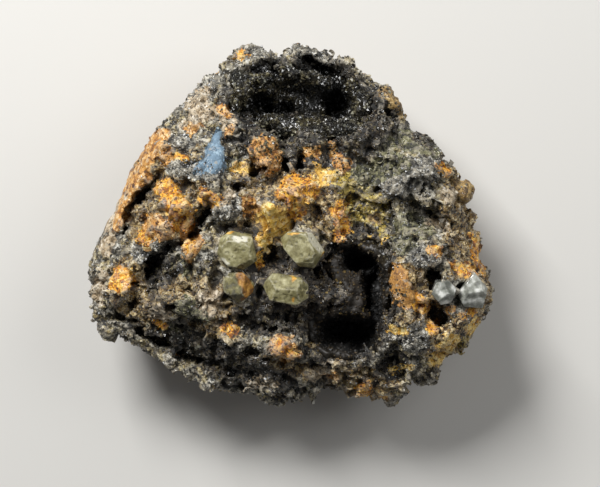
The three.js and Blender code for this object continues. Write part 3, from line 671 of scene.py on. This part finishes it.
def curl_shapes(count, seed):
    """Thin walls bent round an arc, standing on edge: a small blade spun about the upright."""
    draw = np.random.default_rng(seed)
    shapes = []
    for _ in range(count):
        shape = bmesh.new()
        thick, tall = draw.uniform(0.10, 0.2), draw.uniform(0.35, 0.6)
        blade = [shape.verts.new((1 + x, 0, z)) for x, z in
                 ((-thick, -tall), (thick, -tall), (thick * 0.4, tall), (-thick * 0.4, tall))]
        face = shape.faces.new(blade)
        bmesh.ops.spin(
            shape, geom=[face, *face.edges, *face.verts], cent=(0, 0, 0), axis=(0, 0, 1),
            angle=math.radians(draw.uniform(80, 250)), steps=7,
        )
        bmesh.ops.recalc_face_normals(shape, faces=shape.faces)
        bmesh.ops.triangulate(shape, faces=shape.faces)
        shape.verts.index_update()
        corners = np.array([v.co for v in shape.verts])
        corners[:, 0] -= 0.8
        shapes.append(corners + draw.normal(0, 0.05, corners.shape))
        faces = np.array([[v.index for v in f.verts] for f in shape.faces])
        shape.free()
    return np.array(shapes), faces


def turned(normals, lean, draw):
    """Random turns whose third axis is near the normal; lean is the spread of its tilt."""
    third = normals + draw.normal(0, lean, normals.shape)
    third /= np.linalg.norm(third, axis=1)[:, None]
    first = np.cross(third, draw.normal(0, 1, normals.shape))
    first /= np.linalg.norm(first, axis=1)[:, None]
    return np.stack([first, np.cross(third, first), third], axis=2)


def strewn(name, ground, weight, count, sizes, kinds, lean, seed, foot=FOOT):
    """One mesh of many bits that stand in the ground mesh, thicker where weight is high.
    Each bit takes over the ground's stains and painted shade where it stands, and has a tone of its own."""
    shapes, faces = kinds
    draw = np.random.default_rng(seed)
    ground.calc_loop_triangles()
    corners = np.empty(len(ground.loop_triangles) * 3, np.int32)
    ground.loop_triangles.foreach_get("vertices", corners)
    corners = corners.reshape(-1, 3)
    places = places_of(ground).astype(float)
    a, b, c = (places[corners[:, k]] for k in range(3))
    across = np.cross(b - a, c - a)
    area = np.linalg.norm(across, axis=1)
    chance = area * weight[corners].mean(axis=1)
    pick = draw.choice(len(corners), count, p=chance / chance.sum())
    u, v = np.sort(draw.random((2, count)), axis=0)[:, :, None]
    at = a[pick] * u + b[pick] * (v - u) + c[pick] * (1 - v)
    normals = across[pick] / area[pick][:, None]
    low, high = sizes
    size = low * (high / low) ** (draw.random(count) ** 1.8) * MM  # more small ones than large
    kind = draw.integers(0, len(shapes), count)
    bits = np.einsum("nij,nkj->nki", turned(normals, lean, draw), shapes[kind])
    bits *= size[:, None, None]
    bits += (at + normals * (0.5 - foot) * size[:, None])[:, None, :]
    bits[:, :, 2] = np.maximum(bits[:, :, 2], 0)
    bit_faces = faces[None] + (np.arange(count) * shapes.shape[1])[:, None, None]
    mesh = bpy.data.meshes.new(name)
    mesh.from_pydata(bits.reshape(-1, 3).tolist(), [], bit_faces.reshape(-1, faces.shape[1]).tolist())
    piece = bpy.data.objects.new(name, mesh)
    bpy.context.collection.objects.link(piece)
    for layer in ground.attributes:
        if layer.name in (*MARKS, "painted_shade", "brown", "plain"):
            under = share_of(ground, layer.name)[corners[pick, 0]]
            save_share(mesh, layer.name, np.repeat(under, shapes.shape[1]))
    save_share(mesh, "tone", np.repeat(draw.random(count), shapes.shape[1]))
    return piece


upper_side = smoothstep(-0.3, 0.4, normals_of(lump.data)[:, 2])
upper_side = upper_side * smoothstep(1 * MM, 4 * MM, places[:, 2]) + 0.15
upper_side *= smoothstep(0.3 * MM, 1.5 * MM, places[:, 2])
for node in crystal_nodes:
    low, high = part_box(node)
    reach = np.maximum(np.array(low) - places, places - np.array(high)).max(axis=1)
    upper_side *= smoothstep(0.15 * MM, 0.5 * MM, reach)
flat_share = np.maximum(patch_share(places, PLATES + BLUE_FACE, edge), 0.7 * knob_share)
chip_weight = upper_side * (1 - 0.98 * flat_share) * (1 - 0.8 * powdery)
chip_weight *= 1 - 0.85 * share_of(lump.data, "painted_shade")
kinds = chip_shapes(CHIP_KINDS, 1)
for k in range(CHIP_MESHES):
    name = f"gossan_chips_{k + 1}"
    chips = strewn(name, lump.data, chip_weight, CHIPS, CHIP_SIZE, kinds, CHIP_LEAN, 10 + k)
    chips.data.materials.append(gossan)
    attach(chips, "root")
curl_weight = upper_side * (1 - 0.97 * flat_share) * (1 - 0.7 * powdery)
curl_weight *= 1 - 0.8 * share_of(lump.data, "druse")
curls = strewn(
    "gossan_curled_walls", lump.data, curl_weight, CURLS, CURL_SIZE, curl_shapes(CURL_KINDS, 2),
    CURL_LEAN, 20, CURL_FOOT,
)
# The curled walls carry the pale rim and painted highlight all over
save_share(curls.data, "pale_rim_and_highlight", np.full(len(curls.data.vertices), 0.8))
curls.data.materials.append(gossan)
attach(curls, "root")


# The clear grains: quartz in glassy bits of about a quarter of a millimetre, that grew on the
# rock, thick on its grey parts and along the foot of the blue-grey face.
CLEAR_GRAINS = 5000
CLEAR_SIZE = (0.06, 0.17)
CLEAR_FOOT = 0.2
ANY_WAY = 1.0  # a lean so wide that a grain may point any way
SPARKLE = [
    (-8.6, 5.1, 2.4, 0.6, 5), (-10.5, 6.5, 1.1, 1.0, 0), (17.6, -8.2, 3.2, 2.6, 0),
    (-6.6, 2.0, 1.6, 1.0, 0),
]
SPARKLE_WEIGHT = 1.8


def octahedra():
    """Three octahedra about one unit in radius: a regular, a tall and a broad one."""
    shape = bmesh.new()
    bmesh.ops.create_uvsphere(shape, u_segments=4, v_segments=2, radius=1)
    corners = np.array([v.co for v in shape.verts])
    faces = np.array([[v.index for v in f.verts] for f in shape.faces])
    shape.free()
    stretches = ((1, 1, 1), (0.8, 1, 1.2), (1.15, 0.9, 0.8))
    return np.array([corners * stretch for stretch in stretches]), faces


def clear_grain_material():
    """Clear and milky quartz grains, glassy, from dark grey to white by the grain: some flash
    white, and most let part of the light through and only lighten the rock under them."""
    material = bpy.data.materials.new("clear_quartz_grains")
    material.use_nodes = True
    tree = material.node_tree
    shader = tree.nodes["Principled BSDF"]
    tone = add(tree, "ShaderNodeAttribute", attribute_name="tone").outputs["Fac"]
    colour = add(tree, "ShaderNodeValToRGB", {"Fac": tone}, [
        (0.0, "#3c3c3b"), (0.35, "#6a6963"), (0.6, "#97958e"), (0.8, "#c0c1c1"), (1.0, "#f6f6f4"),
    ]).outputs["Color"]
    tree.links.new(colour, shader.inputs["Base Color"])
    shader.inputs["Roughness"].default_value = 0.3
    shader.inputs["IOR"].default_value = 1.55
    shader.inputs["Transmission Weight"].default_value = 0.4
    return material


octahedron_kinds = octahedra()
sparkle_share = SPARKLE_WEIGHT * patch_share(places, SPARKLE, edge)
sparkling = np.maximum(share_of(lump.data, "grey"), sparkle_share)
sparkling = (sparkling + 0.12) * (1 - share_of(lump.data, "druse")) * (1 - 0.9 * powdery)
sparkling *= upper_side * (1 - 0.9 * patch_share(places, BLUE_FACE[:2], edge))
grains = strewn(
    "clear_grains", lump.data, sparkling, CLEAR_GRAINS, CLEAR_SIZE, octahedron_kinds,
    ANY_WAY, 41, CLEAR_FOOT,
)
grains.data.materials.append(clear_grain_material())
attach(grains, "root")


# The hollows' crusts: druse, a skin of tiny dark crystals that grew on the walls of the two
# open hollows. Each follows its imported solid, swollen to meet the rock, with knobs of about a
# millimetre and thousands of small octahedra on them.
CRUST_PITCH = 0.19 * MM
CRUST_SWELL = 0.3  # mm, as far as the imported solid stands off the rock
CRUST_ROUNDS = 12
PAINTED_SHADE_DEPTH = (1.5 * MM, 7 * MM)  # below a crust's top, from its own colour to the darkest painted shade
DRUSE_SIZE = (0.09, 0.26)
CRUSTS = {"upper_hollow_crust": 9000, "lower_hollow_crust": 3500}  # octahedra on each
LUMP_DRUSE = 7000  # more of them on the dark parts of the lump
BROWN_WALL = [(6.0, -8.0, 5.5, 7.5, 0), (-0.6, -6.0, 5.0, 3.4, 0)]  # places stained brown
BROWN_SEED = 5


def knobs(places):
    """Height in mm of the druse's rounded knobs and of the grains on them."""
    heights = np.empty(len(places))
    for i, place in enumerate(places):
        at = Vector(place) / MM
        spans, _ = noise.voronoi((at + noise.noise_vector(at / 1.1) * 0.5) / 1.15)
        heights[i] = 0.5 - 0.75 * spans[0] + 0.35 * noise.noise(at / 0.5)
    return heights


def druse_material():
    """Druse of goethite and manganese oxide: near-black glassy points with a brown or
    grey-green cast and painted shade deeper down, so that the eye sees darkness full of small sharp
    glints."""
    material = bpy.data.materials.new("dark_goethite_druse")
    material.use_nodes = True
    tree = material.node_tree
    shader = tree.nodes["Principled BSDF"]
    place = add(tree, "ShaderNodeTexCoord").outputs["Object"]
    patchy = add(tree, "ShaderNodeTexNoise", {
        "Vector": place, "Scale": per_mm(1.3), "Detail": 4.0,
    }).outputs["Fac"]
    tone = add(tree, "ShaderNodeAttribute", attribute_name="tone").outputs["Fac"]
    # Painted shade: darker deeper down, by the share that the crusts and lump carry
    depth = add(tree, "ShaderNodeAttribute", attribute_name="painted_shade").outputs["Fac"]
    mottle = 0.05
    for part, weight in ((tone, 0.6), (patchy, 0.35), (depth, -0.35)):
        mottle = add(tree, "ShaderNodeMath", {
            0: part, 1: weight, 2: mottle,
        }, operation="MULTIPLY_ADD").outputs[0]
    fine = add(tree, "ShaderNodeTexNoise", {
        "Vector": place, "Scale": per_mm(0.25), "Detail": 3.0,
    }).outputs["Fac"]
    bump = add(tree, "ShaderNodeBump", {"Height": fine, "Strength": 0.25, "Distance": 0.2 * MM})
    bare = add(tree, "ShaderNodeValToRGB", {"Fac": mottle}, [
        (0.1, "#050504"), (0.4, "#12110e"), (0.62, "#28261f"), (0.78, "#524f44"), (0.86, "#9a9a8c"),
    ]).outputs["Color"]
    grown_over = add(tree, "ShaderNodeValToRGB", {"Fac": mottle}, [
        (0.1, "#090805"), (0.4, "#221e12"), (0.62, "#48412d"), (0.78, "#766f54"), (0.86, "#b4b096"),
    ]).outputs["Color"]
    veil = add(tree, "ShaderNodeTexNoise", {
        "Vector": place, "Scale": per_mm(3.0), "Detail": 2.0,
    }).outputs["Fac"]
    veil = add(tree, "ShaderNodeMapRange", {
        "Value": veil, "From Min": 0.46, "From Max": 0.6,
    }).outputs["Result"]
    colour = add(tree, "ShaderNodeMix", {
        "Factor": veil, 6: bare, 7: grown_over,
    }, data_type="RGBA").outputs[2]
    brown = add(tree, "ShaderNodeAttribute", attribute_name="brown").outputs["Fac"]
    earthy = add(tree, "ShaderNodeValToRGB", {"Fac": mottle}, [
        (0.15, "#040301"), (0.4, "#191105"), (0.6, "#2e220c"), (0.8, "#56431b"), (0.9, "#988241"),
    ]).outputs["Color"]
    skin = add(tree, "ShaderNodeMix", {
        "Factor": brown, 6: colour, 7: earthy,
    }, data_type="RGBA").outputs[2]
    gloss = add(tree, "ShaderNodeMapRange", {
        "Value": brown, "To Min": 0.26, "To Max": 0.62,
    }).outputs["Result"]
    tree.links.new(skin, shader.inputs["Base Color"])
    tree.links.new(gloss, shader.inputs["Roughness"])
    tree.links.new(bump.outputs["Normal"], shader.inputs["Normal"])
    shader.inputs["IOR"].default_value = 1.6
    return material


druse = druse_material()
dark_zone = share_of(lump.data, "druse") * smoothstep(-0.1, 0.3, normals_of(lump.data)[:, 2])
save_share(lump.data, "brown", patch_share(places, BROWN_WALL, ragged(places, BROWN_SEED)))
loose = strewn(
    "gossan_druse_points", lump.data, dark_zone * upper_side, LUMP_DRUSE, DRUSE_SIZE,
    octahedron_kinds, ANY_WAY, 31,
)
loose.data.materials.append(druse)
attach(loose, "root")
for node, count in CRUSTS.items():
    crust = merged_copy([node], node.replace("crust", "druse"))
    reskin(crust, CRUST_PITCH)
    places = eased(crust.data, places_of(crust.data), CRUST_ROUNDS)
    put_places(crust.data, places)
    swell = (CRUST_SWELL + knobs(places))[:, None] * MM
    put_places(crust.data, with_levels(places + normals_of(crust.data) * swell))
    reskin(crust, CRUST_PITCH)
    crust.data.shade_smooth()
    places = places_of(crust.data)
    # Painted shade: a crust darkens with depth below its top, and inside the deep holes
    shallow, deepest = PAINTED_SHADE_DEPTH
    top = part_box(node)[1][2]
    dark = smoothstep(top - shallow, top - deepest, places[:, 2])
    dark = np.maximum(dark, patch_share(places, DEEP_HOLES, ragged(places, EDGE_SEED)))
    save_share(crust.data, "painted_shade", dark)
    save_share(crust.data, "brown", patch_share(places, BROWN_WALL, ragged(places, BROWN_SEED)))
    save_share(crust.data, "tone", np.full(len(places), 0.3))
    open_side = smoothstep(-0.2, 0.2, normals_of(crust.data)[:, 2]) + 0.2
    points = strewn(
        node.replace("crust", "druse_points"), crust.data, open_side, count, DRUSE_SIZE,
        octahedron_kinds, ANY_WAY, count,
    )
    for piece in (crust, points):
        piece.data.materials.clear()
        piece.data.materials.append(druse)
        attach(piece, "root")
    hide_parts(node)


# The embolite crystals: four grey-green crystals of silver chloride and bromide, cubes cut by
# octahedron faces, that grew on the gossan and are bonded to it by their feet. They are soft
# and waxy, so their edges are rounded and their faces pitted; the small one is rusted.
GROWN_PITCH = 0.105 * MM
EDGE_ROUND = 0.045 * MM  # how far a crystal's edges are rounded
SPOTS = {  # places stained orange: x, y, half-length, half-width, turn
    "embolite_crystal_front": [(0.5, -5.8, 0.26, 0.4, 0), (0.45, -8.05, 0.22, 0.28, 0)],
    "embolite_crystal_right": [(0.6, -0.85, 0.9, 0.1, 0), (3.6, -3.3, 0.5, 0.12, 60)],
    "embolite_crystal_left": [(-6.3, -0.9, 0.8, 0.12, 20), (-3.4, -1.7, 0.1, 0.5, 0)],
    "embolite_crystal_rusted": [(-4.3, -6.9, 0.9, 2.0, 25)],
}
SPOT_SEED = 7
PALE_WEAR_AND_GLINT = {  # places painted pale, after how pale they are: a painted glint on the left crystal, and the right crystal's side face, pale from wear and painted light
    "embolite_crystal_left": (0.75, [(-5.1, -1.7, 0.8, 0.4, 10), (-6.7, -3.9, 0.5, 0.25, -50)]),
    "embolite_crystal_right": (0.5, [(2.9, -1.9, 1.7, 0.55, -62)]),
}
PALE_WEAR_AND_GLINT_SEED = 9
DENT_SIZE = 0.9  # dents and pits of the waxy faces in mm: size across, then depth
DENT_DEPTH = 0.09
POCK_SIZE = 0.3
POCK_DEPTH = 0.06


def flat_faces(mesh):
    """Directions and distances from the origin of a faceted mesh's flat faces."""
    shape = bmesh.new()
    shape.from_mesh(mesh)
    bmesh.ops.dissolve_limit(shape, angle_limit=math.radians(1), verts=shape.verts, edges=shape.edges)
    outs = np.array([face.normal for face in shape.faces])
    reach = np.array([face.normal.dot(face.verts[0].co) for face in shape.faces])
    shape.free()
    return outs, reach


def flattened(places, outs, reach):
    """The places, put on the crystal's own flat faces, and round where two faces meet."""
    for _ in range(3):
        beyond = (places @ outs.T - reach) / EDGE_ROUND
        peak = beyond.max(axis=1, keepdims=True)
        pull = np.exp(beyond - peak)
        total = pull.sum(axis=1, keepdims=True)
        places = places - (pull / total) @ outs * (peak + np.log(total)) * EDGE_ROUND
    return places


def pitted(places):
    """Depth in mm of a waxy crystal's dents and pits."""
    depths = np.empty(len(places))
    for i, place in enumerate(places):
        at = Vector(place) / MM
        dent = min(1, max(0, (noise.noise(at / DENT_SIZE) - 0.36) / 0.1)) * DENT_DEPTH
        pock = noise.noise(at / POCK_SIZE + Vector((4, 0, 0)))
        pock = min(1, max(0, (pock - 0.36) / 0.1)) * POCK_DEPTH
        depths[i] = dent + pock + 0.022 * noise.noise(at / 0.25) + 0.03 * noise.noise(at / 0.8)
    return depths


def embolite_material(name, body, rust):
    """Embolite: waxy silver halide that lets a little light in, grey-green, with a dull gloss,
    painted shade in its pits and painted highlight along its edges, stained orange by the iron around it."""
    material = bpy.data.materials.new(name)
    material.use_nodes = True
    tree = material.node_tree
    shader = tree.nodes["Principled BSDF"]
    place = add(tree, "ShaderNodeTexCoord").outputs["Object"]
    cloud = add(tree, "ShaderNodeTexNoise", {
        "Vector": place, "Scale": per_mm(0.9), "Detail": 5.0, "Roughness": 0.65,
    }).outputs["Fac"]
    scratch = add(tree, "ShaderNodeTexNoise", {
        "Vector": place, "Scale": per_mm(0.16), "Detail": 2.0,
    }).outputs["Fac"]
    skin = add(tree, "ShaderNodeValToRGB", {"Fac": cloud}, body).outputs["Color"]
    rusty = add(tree, "ShaderNodeValToRGB", {"Fac": cloud}, rust).outputs["Color"]
    # Painted highlight on edges and pale patches, painted shade in pits, and real rust stains
    layers = {"pale_rim_and_highlight": srgb("#e3e0d0"), "painted_shade": srgb("#3f3b20"), "stain": rusty}
    for attribute, tint in layers.items():
        share = add(tree, "ShaderNodeAttribute", attribute_name=attribute).outputs["Fac"]
        skin = add(tree, "ShaderNodeMix", {
            "Factor": share, 6: skin, 7: tint,
        }, data_type="RGBA").outputs[2]
    bump = add(tree, "ShaderNodeBump", {
        "Height": scratch, "Strength": 0.35, "Distance": 0.08 * MM,
    })
    tree.links.new(skin, shader.inputs["Base Color"])
    tree.links.new(bump.outputs["Normal"], shader.inputs["Normal"])
    shader.inputs["Roughness"].default_value = 0.6
    shader.inputs["IOR"].default_value = 2.0
    shader.inputs["Specular IOR Level"].default_value = 0.3
    shader.inputs["Subsurface Weight"].default_value = 0.15
    shader.inputs["Subsurface Radius"].default_value = (1.0, 0.9, 0.5)
    shader.inputs["Subsurface Scale"].default_value = 0.4 * MM
    return material


WAXY_GREEN = [(0.3, "#4c4622"), (0.42, "#716a40"), (0.54, "#8c865d"), (0.7, "#b5af88")]
DULL_GREEN = [(0.3, "#181509"), (0.42, "#3d3818"), (0.54, "#655e30"), (0.7, "#8d8555")]
BRIGHT_RUST = [(0.32, "#8a5c18"), (0.45, "#bd8c30"), (0.55, "#dcb052"), (0.7, "#f2d486")]
DULL_RUST = [(0.32, "#3c2207"), (0.45, "#734a12"), (0.55, "#9c6c1e"), (0.7, "#c79746")]
embolite = embolite_material("waxy_embolite", WAXY_GREEN, BRIGHT_RUST)
embolite_rusted = embolite_material("waxy_embolite_rusted", DULL_GREEN, DULL_RUST)
for node, spots in SPOTS.items():
    rusted = node.endswith("rusted")
    crystal = merged_copy([node], node.replace("embolite", "waxy"))
    outs, reach = flat_faces(crystal.data)
    reskin(crystal, GROWN_PITCH)
    places = flattened(places_of(crystal.data), outs, reach)
    put_places(crystal.data, places)
    places = places - normals_of(crystal.data) * pitted(places)[:, None] * MM
    put_places(crystal.data, places)
    crystal.data.shade_smooth()
    hollow = ((eased(crystal.data, places, 8) - places) * normals_of(crystal.data)).sum(axis=1) / MM
    paleness, patches = PALE_WEAR_AND_GLINT.get(node, (0, []))
    pale_wear_and_glint = paleness * patch_share(places, patches, ragged(places, PALE_WEAR_AND_GLINT_SEED) * 0.7)
    spot_edge = ragged(places, SPOT_SEED) * (1.2 if rusted else 0.6)
    # Painted shade in the pits; painted highlight on the edges and on the pale patches
    save_share(crystal.data, "painted_shade", 0.75 * smoothstep(0.005, 0.05, hollow))
    save_share(crystal.data, "pale_rim_and_highlight", np.maximum(0.3 * smoothstep(0.01, 0.06, -hollow), pale_wear_and_glint))
    save_share(crystal.data, "stain", patch_share(places, spots, spot_edge))
    crystal.data.materials.clear()
    crystal.data.materials.append(embolite_rusted if rusted else embolite)
    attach(crystal, "root")
    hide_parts(node)


# The quartz points: two short, broken, glassy crystals that stand in the rock at the right-hand
# end. Quartz is hard, so its edges stay sharp; it's clear grey with milky clouds in it.
QUARTZ_BEVEL = 0.07 * MM


def quartz_material():
    """Rock crystal, greyish and a little milky: clear and glassy, with faint growth lines, so
    that the eye sees a pale facet with dark depths beside it."""
    material = bpy.data.materials.new("grey_rock_crystal")
    material.use_nodes = True
    tree = material.node_tree
    shader = tree.nodes["Principled BSDF"]
    place = add(tree, "ShaderNodeTexCoord").outputs["Object"]
    milk = add(tree, "ShaderNodeTexNoise", {
        "Vector": place, "Scale": per_mm(0.9), "Detail": 4.0,
    }).outputs["Fac"]
    lines = add(tree, "ShaderNodeTexNoise", {
        "Vector": place, "Scale": per_mm(0.5), "Detail": 2.0,
    }).outputs["Fac"]
    colour = add(tree, "ShaderNodeValToRGB", {"Fac": milk}, [
        (0.36, "#8f9188"), (0.52, "#b6b8ae"), (0.66, "#ebebe5"),
    ]).outputs["Color"]
    clear = add(tree, "ShaderNodeMapRange", {
        "Value": milk, "From Min": 0.62, "From Max": 0.42, "To Min": 0.15, "To Max": 0.55,
    }).outputs["Result"]
    bump = add(tree, "ShaderNodeBump", {
        "Height": lines, "Strength": 0.25, "Distance": 0.12 * MM,
    })
    tree.links.new(colour, shader.inputs["Base Color"])
    tree.links.new(clear, shader.inputs["Transmission Weight"])
    tree.links.new(bump.outputs["Normal"], shader.inputs["Normal"])
    shader.inputs["Roughness"].default_value = 0.08
    shader.inputs["IOR"].default_value = 1.55
    return material


rock_crystal = quartz_material()
for node in ("quartz_point_outer", "quartz_point_inner"):
    point = merged_copy([node], node.replace("quartz_point", "rock_crystal"))
    shape = bmesh.new()
    shape.from_mesh(point.data)
    bmesh.ops.dissolve_limit(shape, angle_limit=math.radians(1), verts=shape.verts, edges=shape.edges)
    bmesh.ops.bevel(
        shape, geom=shape.edges[:], offset=QUARTZ_BEVEL, offset_type="OFFSET", affect="EDGES",
        segments=2, profile=0.5, material=-1, clamp_overlap=True,
    )
    shape.to_mesh(point.data)
    shape.free()
    point.data.materials.clear()
    point.data.materials.append(rock_crystal)
    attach(point, "root")
    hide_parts(node)
